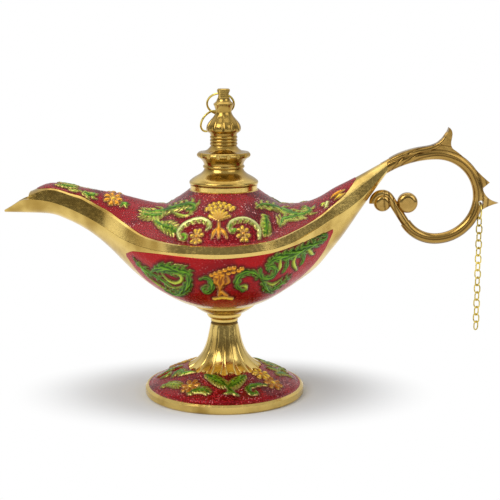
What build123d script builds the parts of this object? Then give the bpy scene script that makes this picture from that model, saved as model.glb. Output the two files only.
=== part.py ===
from build123d import *
import math
import os

# A genie oil lamp of cast brass: +X runs from the spout to the handle, +Z is up,
# and the origin is on the axis of the foot, on the surface that it stands on.
# All sizes are in millimetres.

# Body lines, each a smooth curve of a height or a half width over X
SPOUT_TIP_X = -84.0
MOUTH_X = -74.0
TAIL_END_X = 62.0
BODY_HALF_WIDTH = 35.0
KEEL_BOTTOM_Z = 34.0
SEAM_Z = 61.1
RIM_Z = 63.7
SADDLE_Z = 74.3
KEEL_LINE = [
    (SPOUT_TIP_X, 71.4), (-68, 71.0), (-57, 67.3), (-45, 58.9), (-32.5, 47.0), (-20, 38.9), (-9, 34.8),
    (0, KEEL_BOTTOM_Z), (9, 34.8), (20, 39.6), (35.5, 50.2), (44.6, 61.0), (53.6, 74.2), (TAIL_END_X, 86.2),
]
SEAM_LINE = [
    (SPOUT_TIP_X, 72.3), (MOUTH_X, 77.1), (-66, 76.4), (-56, 73.0), (-46, 68.0), (-33, 62.4), (-18, SEAM_Z),
    (0, SEAM_Z), (15, 62.1), (26, 64.0), (35, 68.0), (44.5, 72.4), (52, 77.6), (TAIL_END_X, 87.8),
]
RIM_LINE = [
    (MOUTH_X, 78.3), (-66, 80.7), (-54, 77.4), (-40, 70.4), (-28, 65.2), (-15, RIM_Z), (0, RIM_Z),
    (15, 64.7), (28.5, 68.4), (39.3, 73.6), (52, 82.3), (TAIL_END_X, 89.6),
]
CROWN_LINE = [
    (MOUTH_X, 79.4), (-66, 82.4), (-56, 80.9), (-41, 78.4), (-30, 75.6), (-22, SADDLE_Z), (0, SADDLE_Z),
    (24, SADDLE_Z), (35, 75.9), (41, 79.8), (50, 84.5), (TAIL_END_X, 91.3),
]
HALF_WIDTH_LINE = [
    (SPOUT_TIP_X, 1.7), (MOUTH_X, 5.6), (-66, 7.2), (-54, 8.8), (-45, 11.5), (-36, 18.0), (-28, 25.0),
    (-15, 32.4), (0, BODY_HALF_WIDTH), (15, 32.4), (28, 24.0), (36, 16.5), (44, 10.2), (52, 7.0),
    (TAIL_END_X, 4.2),
]
# Share of the roof's rise that is reached half way in: above 0.5 is domed, below is hollow
ROOF_FULLNESS_LINE = [
    (MOUTH_X, 0.78), (-50, 0.75), (-30, 0.6), (0, 0.5), (30, 0.6), (46, 0.75), (TAIL_END_X, 0.78),
]
STATIONS = 27
BELLY_SPANS = 4
BAND_INSET = 0.9
BODY_WALL = 1.7
SOLDER_GAP = 0.05
SEAM_OVERLAP = 1.5
CHANNEL_FRONT_X = -80.0
TAIL_WEB_X = 45.0

# Neck and shoulder
NECK_R = 12.8
NECK_BORE_R = 10.6
NECK_FOOT_Z = 80.4
LID_SEAT_Z = 82.0
SHOULDER = [(17.0, 77.4), (24.0, 72.3), (31.5, 64.2)]
SHOULDER_WALL = 1.4

# Boss under the bowl and the screw joint to the foot
JOINT_Z = 28.4
JOINT_R = 4.9
BOSS_R = 5.3
BOSS_BEAD_R = 6.7
BOSS_BEAD_Z = 31.2
BOSS_TOP_R = 12.0
BOSS_TOP_Z = 35.2
PAD_R = 6.4
PAD_TOP_Z = 41.0
SCREW_R = 2.5
SCREW_END_Z = 38.5
THREAD_CLEARANCE = 0.05
THREAD_RUNOUT = 0.8
SCREW_HOLE_R = 2.8
SCREW_HEAD_R = 4.4
SCREW_HEAD_HEIGHT = 3.0
SCREW_SLOT_WIDTH = 1.1
SCREW_SLOT_DEPTH = 1.3
WASHER_R = 5.8
WASHER_HEIGHT = 1.0
SCREW_SEAT_Z = 13.2

# Foot
FOOT_R = 31.0
FOOT_RIM_HEIGHT = 3.6
FOOT_RIM_ROUND = 0.7
FOOT_RIM_WIDTH = 2.4
DOME_LINE = [(28.3, 4.4), (23.0, 6.9), (18.0, 9.1), (14.2, 10.5)]
STEM_LINE = [(14.2, 11.2), (10.9, 13.3), (8.2, 17.0), (6.3, 23.0), (BOSS_R, 27.8)]
FOOT_HOLLOW_R = 28.4
FOOT_HOLLOW_LINE = [(27.4, 2.4), (20.0, 5.9), (13.0, 8.2), (8.4, 9.4)]
SCREW_WELL_R = 6.6
FLUTES = 16
FLUTE_LINE = [(6.1, 27.4), (7.0, 22.8), (8.75, 18.0), (11.4, 14.6), (15.4, 12.1)]
FLUTE_RADII = [0.7, 0.85, 1.05, 1.45, 2.1]
PETAL_NOTCH_R = 1.5
PETAL_NOTCH_RING_R = 15.0

# Lid, as stretches of its outline from the flange up to the tip
FLANGE_R = 13.2
FLANGE_UNDER_R = 12.6
FLANGE_MIDDLE_Z = 82.9
FLANGE_TOP_Z = 83.9
LID_TIP_R = 2.45
LID_TIP_Z = 118.4
LID_TIP_CHAMFER = 0.4
LID_SKIRT_LINE = [(11.1, 85.0), (8.5, 86.6), (7.4, 88.2)]
LID_BEAD_LINE = [(7.4, 88.2), (7.95, 89.0), (7.5, 89.7)]
LID_CUP_LINE = [(7.5, 89.7), (7.8, 90.6), (9.3, 92.3)]
LID_DISC_LINE = [(9.3, 92.3), (10.2, 93.4), (9.5, 94.5)]
LID_THROAT_LINE = [(9.5, 94.5), (6.3, 95.4), (4.9, 97.0)]
LID_BANDS = 3
LID_BAND_HEIGHT = 1.25
LID_BAND_DEPTH = 0.35
LID_BELL_LIP_LINE = [(5.3, 101.7), (6.5, 102.8), (6.6, 103.4)]
LID_BELL_LINE = [(6.6, 103.4), (6.2, 105.0), (5.0, 106.6), (3.8, 108.0), (3.05, 109.5)]
LID_COLLAR_LINE = [(3.05, 109.5), (3.2, 110.9), (3.8, 112.3)]
LID_COLLAR_TOP_Z = 112.8
LID_TIP_LINE = [(2.95, 113.5), (2.55, 114.2), (LID_TIP_R, 115.2)]
BELL_FLUTES = 12
BELL_FLUTE_LINE = [(3.5, 109.6), (4.75, 107.7), (6.6, 105.6), (7.5, 103.4), (7.7, 102.4)]
BELL_FLUTE_RADII = [0.35, 0.65, 0.95, 1.15, 1.2]
DISC_LOBES = 16
DISC_NOTCH_R = 0.85
DISC_NOTCH_RING_R = 10.45
SPIGOT_CLEARANCE = 0.1
SPIGOT_WALL = 1.4
SPIGOT_DEPTH = 5.0
LID_HOLLOW_LINE = [(6.0, 86.6), (5.4, 91.0)]
LID_HOLLOW_TOP_Z = 93.0

# Wire rings of the lid
LID_WIRE_R = 0.4
RING_HOLE_DROP = 2.4
RING_HOLE_Z = LID_TIP_Z - RING_HOLE_DROP
RING_HOLE_R = 1.5
UPPER_RING_R = 5.1
UPPER_RING_OFFSET_X = -1.2
UPPER_RING_DROP = 4.33
UPPER_RING_LEAN = 36.0
LOWER_RING_R = 4.5
LOWER_RING_X = -5.25
LOWER_RING_Y = 5.79
LOWER_RING_DROP = 10.31
LOWER_RING_AZIMUTH = 134.1
LOWER_RING_ELEVATION = 27.0

# Handle, drawn in the XZ plane
HANDLE_X = 81.1
HANDLE_Z = 77.3
HANDLE_RING_R = 16.3
HANDLE_TUBE_R = 2.05
ARM_R = 38.0
ARM_SWEEP = 33.0
TURN_R = 13.5
TURN_SWEEP = 57.0
SCROLL_TUBE_R = 1.65
SCROLL_RUN = 11.5
SCROLL_R = 3.4
SCROLL_SWEEP = 150.0
BUD_R = 3.3
VOLUTE_R = 3.9
VOLUTE_X = 70.3
VOLUTE_Z = 75.0
BULB_THICKNESS = 5.0
BULB_ROUND = 1.8
CREST_THICKNESS = 3.4
LEAF_THICKNESS = 3.0
# Shares of the ring or the arm where the leaves grow out of it
CREST_END_SHARE = 0.1
CREST_ARM_SHARE = 0.5
SHEATH_MIDDLE_SHARE = 0.3
SHEATH_END_SHARE = 0.45
THORN_END_SHARE = 0.57
CREST_TOP = [(63.0, 92.0), (68.5, 94.7), (74.6, 96.3), (80.6, 97.7), (83.6, 100.2), (85.4, 103.8)]
CREST_BACK = [(85.4, 103.8), (86.6, 101.0), (86.2, 97.6), (87.2, 95.6)]
SHEATH_OUTER = [(87.2, 95.6), (92.0, 91.8), (96.0, 87.8), (101.4, 82.9)]
SHEATH_NOTCH = (98.7, 80.6)
THORN_OUTER = [(98.7, 80.6), (100.6, 77.4), (105.0, 75.0)]
THORN_UNDER = [(105.0, 75.0), (101.6, 73.9), (98.8, 72.4)]

# Chain on the handle
CHAIN_HOLE_X = 98.2
CHAIN_HOLE_Z = 75.0
CHAIN_HOLE_R = 1.0
CHAIN_RING_R = 3.2
CHAIN_RING_WIRE_R = 0.3
CHAIN_RING_TOP_Z = 75.05
LINKS = 15
LINK_WIRE_R = 0.25
LINK_LENGTH = 3.95
LINK_WIDTH = 3.0
LINK_TURN = 45.0
LINK_SLACK = 0.03

# Overshoot of cutting shapes past the faces that they cut
CUT = 1.0


def value_on(line, x):
    """Value at x of a smooth curve through the points of a line, without overshoot between them."""
    pairs = list(zip(line, line[1:]))
    slopes = [(b[1] - a[1]) / (b[0] - a[0]) for a, b in pairs]
    inner = [0.0 if m * n <= 0 else 2 * m * n / (m + n) for m, n in zip(slopes, slopes[1:])]
    tangents = [slopes[0], *inner, slopes[-1]]
    span = next((i for i, (a, b) in enumerate(pairs) if x <= b[0]), len(pairs) - 1)
    (x0, y0), (x1, y1) = pairs[span]
    run = x1 - x0
    t = (x - x0) / run
    rise = y0 + (y1 - y0) * t * t * (3 - 2 * t)
    return rise + run * t * (1 - t) * ((1 - t) * tangents[span] - t * tangents[span + 1])


def stations(first, last):
    """Places along X, closer together towards both ends."""
    shares = [(1 - math.cos(math.pi * i / (STATIONS - 1))) / 2 for i in range(STATIONS)]
    return [first + (last - first) * share for share in shares]


def closed_face(*curves):
    """Face bounded by curves that meet end to end, in order."""
    return Face(Wire([edge for curve in curves for edge in curve.edges()]))


def turned(*curves):
    """Solid of revolution about Z of an outline drawn as radius and height."""
    return revolve(Plane.XZ * closed_face(*curves), Axis.Z)


def path_through(points):
    """Straight lines through points."""
    return Polyline(*points)


def half_bowl_section(x, wall):
    """Half cross section of the bowl at x, inside its outer face by the wall, drawn up past the seam."""
    width = value_on(HALF_WIDTH_LINE, x) - wall
    high = value_on(SEAM_LINE, x) + SEAM_OVERLAP
    depth = high - value_on(KEEL_LINE, x) - wall
    angles = [math.pi / 2 * i / BELLY_SPANS for i in range(BELLY_SPANS + 1)]
    belly = [(width * math.sin(a), high - depth * math.cos(a)) for a in angles]
    under = Spline(*belly, tangents=[(1, 0), (0, 1)])
    return Plane.YZ.offset(x) * closed_face(under, path_through([belly[-1], (0, high), belly[0]]))


def bowl_form(first, last, wall):
    """Filled form of the bowl between two places along X, inside its outer face by the wall."""
    half = loft([half_bowl_section(x, wall) for x in stations(first, last)])
    return half + mirror(half, Plane.XZ)


def cover_section(x, wall):
    """Cross section of the cover at x, inside its outer face by the wall, its sides drawn past the seam."""
    width = value_on(HALF_WIDTH_LINE, x) - wall
    edge = width - BAND_INSET
    low = value_on(SEAM_LINE, x) - SEAM_OVERLAP
    rim = value_on(RIM_LINE, x) - wall
    crown = value_on(CROWN_LINE, x) - wall
    middle = rim + (crown - rim) * value_on(ROOF_FULLNESS_LINE, x)
    roof = Spline((-edge, rim), (-edge / 2, middle), (0, crown), (edge / 2, middle), (edge, rim))
    sides = path_through([(edge, rim), (width, low), (-width, low), (-edge, rim)])
    return Plane.YZ.offset(x) * closed_face(roof, sides)


def bowl_body():
    """Outer form of the bowl, filled and standing past the seam."""
    return bowl_form(SPOUT_TIP_X, TAIL_END_X, 0)


def cover_body():
    """Outer form of the cover without its neck, filled and reaching below the seam."""
    return loft([cover_section(x, 0) for x in stations(MOUTH_X, TAIL_END_X)])


def above_seam(gap):
    """Block over the seam between bowl and cover, a gap above it, that trims both to the same curve."""
    heights = [(x, value_on(SEAM_LINE, x) + gap) for x in stations(SPOUT_TIP_X - CUT, TAIL_END_X + CUT)]
    first, last = heights[0], heights[-1]
    sides = path_through([last, (last[0], LID_TIP_Z), (first[0], LID_TIP_Z), first])
    return extrude(Plane.XZ * closed_face(Spline(*heights), sides), 2 * BODY_HALF_WIDTH, both=True)


def boss():
    """Turned boss under the bowl, with a bead above its joint face."""
    foot = path_through([(0, JOINT_Z), (JOINT_R, JOINT_Z), (BOSS_R, JOINT_Z + BOSS_R - JOINT_R)])
    bead_low = (BOSS_R, BOSS_BEAD_Z - (BOSS_BEAD_R - BOSS_R))
    neck = Line(foot @ 1, bead_low)
    bead_high = (BOSS_BEAD_R, BOSS_BEAD_Z + (BOSS_BEAD_R - BOSS_R) / 2)
    bead = Spline(bead_low, (BOSS_BEAD_R, BOSS_BEAD_Z), bead_high)
    funnel = Spline(bead_high, ((BOSS_BEAD_R + BOSS_TOP_R) / 2, (BOSS_BEAD_Z + BOSS_TOP_Z) / 2 + SOLDER_GAP),
                    (BOSS_TOP_R, BOSS_TOP_Z))
    high = BOSS_TOP_Z + CUT
    top = path_through([(BOSS_TOP_R, BOSS_TOP_Z), (BOSS_TOP_R, high), (0, high), (0, JOINT_Z)])
    return turned(foot, neck, bead, funnel, top)


def upright(radius, low, high):
    """Round bar about the Z axis between two heights."""
    return Pos(0, 0, (low + high) / 2) * Cylinder(radius, high - low)


def make_bowl():
    """Lower half of the body with its channel out to the spout and the threaded boss."""
    hollow = bowl_form(CHANNEL_FRONT_X, TAIL_WEB_X, BODY_WALL)
    shell = bowl_body() + boss() - above_seam(0) - hollow
    pad = upright(PAD_R, KEEL_BOTTOM_Z, PAD_TOP_Z)
    thread = upright(SCREW_R + THREAD_CLEARANCE, JOINT_Z - CUT, SCREW_END_Z + THREAD_RUNOUT)
    return shell + pad - thread


def shoulder(inset, low, high, neck_r):
    """Turned shoulder that rises from the roof to the neck, drawn inside its face by an inset."""
    flare = [(r - inset, z - inset) for r, z in SHOULDER]
    curve = Spline((neck_r, NECK_FOOT_Z - inset), *flare)
    rest = path_through([flare[-1], (flare[-1][0], low), (0, low), (0, high), (neck_r, high),
                         (neck_r, NECK_FOOT_Z - inset)])
    return turned(curve, rest)


def make_cover():
    """Upper half of the body with its rim band, shoulder, neck and filling hole."""
    low = SHOULDER[-1][1] - SHOULDER_WALL - CUT
    neck = shoulder(0, SHOULDER[-1][1] - SHOULDER_WALL, LID_SEAT_Z, NECK_R)
    throat = shoulder(SHOULDER_WALL, low, LID_SEAT_Z + CUT, NECK_BORE_R)
    hollow = loft([cover_section(x, BODY_WALL) for x in stations(MOUTH_X - CUT, TAIL_WEB_X)])
    return (cover_body() + neck - hollow - throat) & above_seam(SOLDER_GAP)


def flute(line, radii):
    """Tapering round cutter that follows a line drawn as radius and height."""
    points = [Vector(r, 0, z) for r, z in line]
    ends = [points[0], *points, points[-1]]
    runs = [(after - before).normalized() for before, after in zip(ends, ends[2:])]
    rounds = [Plane(p, x_dir=(0, 1, 0), z_dir=run) * Circle(r) for p, run, r in zip(points, runs, radii)]
    return loft(rounds)


def around_axis(shape, count, phase=0.0):
    """Copies of a shape spaced evenly about the Z axis."""
    return [Rot(0, 0, 360 / count * (i + phase)) * shape for i in range(count)]


def make_foot():
    """Fluted stem and domed base in one casting, hollow below."""
    rim = path_through([
        (0, 0), (FOOT_R - FOOT_RIM_ROUND, 0), (FOOT_R, FOOT_RIM_ROUND),
        (FOOT_R, FOOT_RIM_HEIGHT - FOOT_RIM_ROUND), (FOOT_R - FOOT_RIM_ROUND, FOOT_RIM_HEIGHT),
        (FOOT_R - FOOT_RIM_WIDTH, FOOT_RIM_HEIGHT), DOME_LINE[0],
    ])
    dome = Spline(*DOME_LINE)
    petal_edge = Line(DOME_LINE[-1], STEM_LINE[0])
    stem = Spline(*STEM_LINE)
    top = path_through([STEM_LINE[-1], (JOINT_R, JOINT_Z), (0, JOINT_Z), (0, 0)])
    casting = turned(rim, dome, petal_edge, stem, top)
    well_low = FOOT_HOLLOW_LINE[-1][1]
    well = path_through([FOOT_HOLLOW_LINE[-1], (SCREW_WELL_R, well_low), (SCREW_WELL_R, SCREW_SEAT_Z),
                         (0, SCREW_SEAT_Z), (0, -CUT), (FOOT_HOLLOW_R, -CUT), FOOT_HOLLOW_LINE[0]])
    hollow = turned(Spline(*FOOT_HOLLOW_LINE), well)
    hole = upright(SCREW_HOLE_R, 0, JOINT_Z + CUT)
    flutes = around_axis(flute(FLUTE_LINE, FLUTE_RADII), FLUTES)
    petal_z = DOME_LINE[-1][1]
    notch = Pos(PETAL_NOTCH_RING_R, 0, 0) * upright(PETAL_NOTCH_R, petal_z, STEM_LINE[1][1])
    return casting - flutes - around_axis(notch, FLUTES, 0.5) - hollow - hole


def make_foot_washer():
    """Flat washer in the well of the foot."""
    seat = SCREW_SEAT_Z - WASHER_HEIGHT
    return upright(WASHER_R, seat, SCREW_SEAT_Z) - upright(SCREW_HOLE_R, seat - CUT, SCREW_SEAT_Z + CUT)


def make_foot_screw():
    """Slotted screw that clamps the foot to the boss."""
    head_top = SCREW_SEAT_Z - WASHER_HEIGHT
    head_low = head_top - SCREW_HEAD_HEIGHT
    screw = upright(SCREW_HEAD_R, head_low, head_top) + upright(SCREW_R, head_top, SCREW_END_Z)
    slot = Pos(0, 0, head_low) * Box(3 * SCREW_HEAD_R, SCREW_SLOT_WIDTH, 2 * SCREW_SLOT_DEPTH)
    return screw - slot


def lid_outline():
    """Curves of the lid's outer face from the middle of its underside to the middle of its tip."""
    under = Line((0, LID_SEAT_Z), (FLANGE_UNDER_R, LID_SEAT_Z))
    edge = ThreePointArc(under @ 1, (FLANGE_R, FLANGE_MIDDLE_Z), (FLANGE_UNDER_R, FLANGE_TOP_Z))
    skirt = Spline(edge @ 1, *LID_SKIRT_LINE)
    rounds = [Spline(*line) for line in (LID_BEAD_LINE, LID_CUP_LINE, LID_DISC_LINE, LID_THROAT_LINE)]
    r, z = LID_THROAT_LINE[-1]
    bands = []
    for i in range(LID_BANDS):
        low = z + LID_BAND_HEIGHT * i
        middle = (r + LID_BAND_DEPTH, low + LID_BAND_HEIGHT / 2)
        bands.append(ThreePointArc((r, low), middle, (r, low + LID_BAND_HEIGHT)))
    neck = Line(bands[-1] @ 1, LID_BELL_LIP_LINE[0])
    upper = [Spline(*line) for line in (LID_BELL_LIP_LINE, LID_BELL_LINE, LID_COLLAR_LINE)]
    collar_r = LID_COLLAR_LINE[-1][0]
    collar = path_through([LID_COLLAR_LINE[-1], (collar_r, LID_COLLAR_TOP_Z), LID_TIP_LINE[0]])
    tip = Spline(*LID_TIP_LINE)
    end = path_through([LID_TIP_LINE[-1], (LID_TIP_R, LID_TIP_Z - LID_TIP_CHAMFER),
                        (LID_TIP_R - LID_TIP_CHAMFER, LID_TIP_Z), (0, LID_TIP_Z), (0, LID_SEAT_Z)])
    return [under, edge, skirt, *rounds, *bands, neck, *upper, collar, tip, end]


def make_lid():
    """Finial lid with a fluted bell, a lobed disc and a spigot for the neck."""
    spigot_r = NECK_BORE_R - SPIGOT_CLEARANCE
    low = LID_SEAT_Z - SPIGOT_DEPTH
    hollow_r = spigot_r - SPIGOT_WALL
    mouth = low - CUT
    hollow = turned(path_through([(0, mouth), (hollow_r, mouth), (hollow_r, LID_SEAT_Z), *LID_HOLLOW_LINE,
                                  (0, LID_HOLLOW_TOP_Z), (0, mouth)]))
    solid = turned(*lid_outline()) + upright(spigot_r, low, LID_SEAT_Z)
    flutes = around_axis(flute(BELL_FLUTE_LINE, BELL_FLUTE_RADII), BELL_FLUTES)
    disc_low = LID_DISC_LINE[0][1] - CUT
    notch = Pos(DISC_NOTCH_RING_R, 0, 0) * upright(DISC_NOTCH_R, disc_low, LID_DISC_LINE[-1][1] + CUT)
    ring_hole = Pos(0, 0, RING_HOLE_Z) * Rot(0, 90, 0) * Cylinder(RING_HOLE_R, 4 * LID_TIP_R)
    return solid - flutes - around_axis(notch, DISC_LOBES, 0.5) - hollow - ring_hole


def make_lid_ring_upper():
    """Wire ring through the tip of the lid, hanging behind it."""
    drop = Rot(UPPER_RING_LEAN, 0, 0) * Pos(UPPER_RING_OFFSET_X, 0, -UPPER_RING_DROP)
    return Pos(0, 0, RING_HOLE_Z) * drop * Rot(90, 0, 0) * Torus(UPPER_RING_R, LID_WIRE_R)


def make_lid_ring_lower():
    """Wire ring linked in the upper ring."""
    lean = Rot(0, 90 - LOWER_RING_ELEVATION, 0)
    centre = Pos(LOWER_RING_X, LOWER_RING_Y, RING_HOLE_Z - LOWER_RING_DROP)
    return centre * Rot(0, 0, LOWER_RING_AZIMUTH) * lean * Torus(LOWER_RING_R, LID_WIRE_R)


def tube(path, radius):
    """Round bar along a path in the XZ plane."""
    placed = Plane.XZ * path
    return sweep(Plane(placed @ 0, z_dir=placed % 0) * Circle(radius), placed)


def bulb(x, z, radius):
    """Rounded button across the handle, as at the end of a scroll."""
    button = Cylinder(radius, BULB_THICKNESS)
    return Pos(x, 0, z) * Rot(90, 0, 0) * fillet(button.edges().filter_by(GeomType.CIRCLE), BULB_ROUND)


def plate(thickness, *curves):
    """Flat leaf of the handle, drawn in the XZ plane and centred on it."""
    return extrude(Plane.XZ * closed_face(*curves), thickness / 2, both=True)


def make_handle():
    """Scroll handle: arm, ring, two scroll ends, crest and leaf tips, cut to fit the tail."""
    top = (HANDLE_X, HANDLE_Z + HANDLE_RING_R)
    low = (HANDLE_X, HANDLE_Z - HANDLE_RING_R)
    arm = JernArc(top, (-1, 0), ARM_R, ARM_SWEEP)
    ring = CenterArc((HANDLE_X, HANDLE_Z), HANDLE_RING_R, 90, -180)
    turn = JernArc(low, (-1, 0), TURN_R, -TURN_SWEEP)
    run = Line(turn @ 1, (turn @ 1) + (turn % 1) * SCROLL_RUN)
    scroll = JernArc(run @ 1, run % 1, SCROLL_R, SCROLL_SWEEP)
    bud = (run @ 1) + (run % 1).rotate(Axis.Z, 90) * SCROLL_R
    solid = tube(arm, HANDLE_TUBE_R) + tube(ring, HANDLE_TUBE_R) + tube(turn, HANDLE_TUBE_R)
    solid += [tube(run, SCROLL_TUBE_R), tube(scroll, SCROLL_TUBE_R)]
    solid += [bulb(bud.X, bud.Y, BUD_R), bulb(VOLUTE_X, VOLUTE_Z, VOLUTE_R)]
    crest_end = ring @ CREST_END_SHARE
    sheath_end = ring @ SHEATH_END_SHARE
    crest_root = path_through([CREST_BACK[-1], crest_end, top, arm @ CREST_ARM_SHARE, CREST_TOP[0]])
    solid += plate(CREST_THICKNESS, Spline(*CREST_TOP), Spline(*CREST_BACK), crest_root)
    sheath_middle = ring @ SHEATH_MIDDLE_SHARE
    sheath_inner = [SHEATH_NOTCH, sheath_end, sheath_middle, crest_end]
    sheath_root = path_through([SHEATH_OUTER[-1], *sheath_inner, SHEATH_OUTER[0]])
    solid += plate(LEAF_THICKNESS, Spline(*SHEATH_OUTER), sheath_root)
    thorn_root = path_through([THORN_UNDER[-1], ring @ THORN_END_SHARE, sheath_end, THORN_OUTER[0]])
    solid += plate(LEAF_THICKNESS, Spline(*THORN_OUTER), Spline(*THORN_UNDER), thorn_root)
    hole = Pos(CHAIN_HOLE_X, 0, CHAIN_HOLE_Z) * Rot(90, 0, 0) * Cylinder(CHAIN_HOLE_R, 4 * HANDLE_TUBE_R)
    tail_z = value_on(KEEL_LINE, TAIL_END_X)
    room_z = tail_z + ARM_R / 2 - 2 * HANDLE_TUBE_R
    tail_room = Pos(TAIL_END_X - ARM_R / 2, 0, room_z) * Box(ARM_R, ARM_R, ARM_R)
    return solid - hole - tail_room - bowl_body()


def make_chain_ring():
    """Jump ring that hangs in the hole of the handle, across it."""
    centre_z = CHAIN_RING_TOP_Z - CHAIN_RING_R
    return Pos(CHAIN_HOLE_X, 0, centre_z) * Rot(0, 90, 0) * Torus(CHAIN_RING_R, CHAIN_RING_WIRE_R)


def link_height(index):
    """Height of the middle of a chain link, counted from the top."""
    ring_low = CHAIN_RING_TOP_Z - 2 * CHAIN_RING_R
    first = ring_low + CHAIN_RING_WIRE_R + LINK_SLACK + 2 * LINK_WIRE_R - LINK_LENGTH / 2
    pitch = LINK_LENGTH - 4 * LINK_WIRE_R - LINK_SLACK
    return first - pitch * index


def make_chain_link(index):
    """Oval wire link, turned the other way from its neighbours."""
    bend = LINK_WIDTH / 2 - LINK_WIRE_R
    straight = LINK_LENGTH / 2 - LINK_WIDTH / 2
    right = Line((bend, -straight), (bend, straight))
    over = CenterArc((0, straight), bend, 0, 180)
    left = Line((-bend, straight), (-bend, -straight))
    below = CenterArc((0, -straight), bend, 180, 180)
    wire = Plane.XZ * Wire.combine([curve.edge() for curve in (right, over, left, below)])[0]
    link = sweep(Plane(wire @ 0, z_dir=wire % 0) * Circle(LINK_WIRE_R), wire)
    turn = LINK_TURN if index % 2 == 0 else -LINK_TURN
    return Pos(CHAIN_HOLE_X, 0, link_height(index)) * Rot(0, 0, turn) * link


NODES = {
    "bowl": make_bowl,
    "cover": make_cover,
    "handle": make_handle,
    "foot": make_foot,
    "foot_screw": make_foot_screw,
    "foot_washer": make_foot_washer,
    "lid": make_lid,
    "lid_ring_upper": make_lid_ring_upper,
    "lid_ring_lower": make_lid_ring_lower,
    "chain_ring": make_chain_ring,
}

os.makedirs("parts", exist_ok=True)
for name, make in NODES.items():
    export_step(make(), f"parts/{name}.step")
for number in range(LINKS):
    export_step(make_chain_link(number), f"parts/chain_link_{number + 1:02d}.step")
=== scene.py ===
import math

import bpy
import numpy as np
from mathutils import Euler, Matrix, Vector


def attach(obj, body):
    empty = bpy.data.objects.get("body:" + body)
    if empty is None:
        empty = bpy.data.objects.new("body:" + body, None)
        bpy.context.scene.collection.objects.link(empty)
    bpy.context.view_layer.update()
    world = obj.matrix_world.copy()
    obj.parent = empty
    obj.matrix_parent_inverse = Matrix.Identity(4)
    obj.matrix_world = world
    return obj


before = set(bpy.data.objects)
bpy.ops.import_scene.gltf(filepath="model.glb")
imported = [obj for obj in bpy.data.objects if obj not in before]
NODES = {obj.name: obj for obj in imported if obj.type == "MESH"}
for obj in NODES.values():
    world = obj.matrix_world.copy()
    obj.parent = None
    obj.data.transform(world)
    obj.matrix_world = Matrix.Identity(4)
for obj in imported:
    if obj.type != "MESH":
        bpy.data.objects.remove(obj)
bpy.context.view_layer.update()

bl_info = {
    "name": "Genie oil lamp",
    "version": (1, 0, 0),
    "blender": (4, 5, 0),
    "location": "View3D > Sidebar > Lamp",
    "description": "Brass, enamel and stage of a genie oil lamp",
    "category": "Object",
}

MM = 0.001
TINY = 1e-12

# Middle of the handle's ring, where its grooves fade in and out around it, and their pitch, in metres
HANDLE_CENTRE = (0.0811, 0.0, 0.0773)
GROOVES_START = (0.0148, 0.0153)
GROOVES_END = (0.0195, 0.0215)
GROOVE_PITCH = 0.0019
GROOVE_RATE = 2 * math.pi / GROOVE_PITCH
# Height of the joint between bowl and foot, and where the painted shade in it fades in and out, in metres
JOINT_Z = 0.0284
JOINT_SHADE_START = (JOINT_Z - 0.0010, JOINT_Z - 0.0004)
JOINT_SHADE_END = (JOINT_Z + 0.0003, JOINT_Z + 0.0008)

# Ridges on each side of the handle: distance from the middle plane, then X, Z and radius in millimetres
HANDLE_RIDGES = [
    (1.25, [(60.0, 89.6, 0.5), (66.5, 92.6, 0.9), (73.0, 94.6, 1.0), (79.0, 96.0, 1.0), (82.8, 98.4, 0.8),
            (84.9, 102.0, 0.25)]),
    (1.0, [(85.9, 94.2, 0.5), (90.6, 91.2, 0.85), (95.2, 87.0, 0.85), (99.6, 83.2, 0.3)]),
    (1.0, [(97.4, 79.2, 0.4), (99.4, 76.7, 0.8), (103.2, 75.05, 0.3)]),
]

# Half width of the cover's roof, height of the seam, and upper and lower edge of the bowl's enamel, in
# millimetres along X
ROOF_EDGE = [(-74, 4.4), (-66, 6.0), (-54, 7.6), (-45, 10.3), (-36, 16.8), (-28, 23.8), (-15, 31.2),
             (0, 33.8), (15, 31.2), (28, 22.8), (36, 15.4), (44, 9.1), (52, 5.9), (62, 3.1)]
BOWL_SEAM = [(-84, 72.3), (-66, 76.4), (-56, 73.0), (-46, 68.0), (-33, 62.4), (-18, 61.1), (0, 61.1),
             (15, 62.1), (26, 64.0), (35, 68.0), (44.5, 72.4), (62, 87.8)]
BOWL_TOP = [(-36.5, 58), (-33, 59.8), (-22, 60.4), (-4, 59.7), (16, 61), (30, 63.7), (41.5, 66.4)]
BOWL_LOW = [(-36.5, 57.4), (-29.5, 48), (-23, 43.5), (-13, 40), (0, 38), (14.5, 40.3), (24, 44.6), (32, 51),
            (38, 58.4), (41.5, 66)]

# Enamel of the cover in millimetres: columns and rows of its grid, its two ends along X, its margin inside
# the roof's edge, where its ends start to be round and over what run, and the least share of width there
COVER_GRID = (400, 200)
COVER_ENAMEL_X = (-71.5, 50.5)
COVER_MARGIN = 0.75
COVER_ENDS = ((-66.0, -5.6), (44.0, 6.6))
LEAST_END = 0.05
# The neck that the cover's enamel leaves free, in millimetres: its radius, a height for points inside it,
# how far inside it points are drawn to its edge, and the slack there
NECK_R = 13.35
NECK_Z = 79.5
NECK_REACH = 0.75
NECK_SLACK = 0.02
# Enamel of the bowl and of the foot, whose inner edge follows the petals of the stem, in millimetres
BOWL_GRID = (320, 130)
BOWL_ENAMEL_X = (-36.4, 41.4)
FOOT_GRID = (460, 60)
FOOT_ENAMEL_R = 29.9
FOOT_PETALS = 16
FOOT_PETAL_R = 14.05
FOOT_PETAL_RISE = 0.35
# How deep a panel's edge sinks into the brass, the pitch of points along a stroke, and places outside and
# inside the lamp, in millimetres
SUNK_EDGE = 0.25
PATH_PITCH = 0.5
FAR = 200.0
AROUND_BOWL = 80.0
BELOW_LAMP = (0, 0, -60)
INSIDE_BOWL = (0, 0, 70)

# The photo's side in pixels, and the sensor and place of the camera that sees the lamp as the photo does
PHOTO = 500
SENSOR = 36.0
CAMERA = Vector((0.010, -0.46523, 0.14189))
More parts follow.
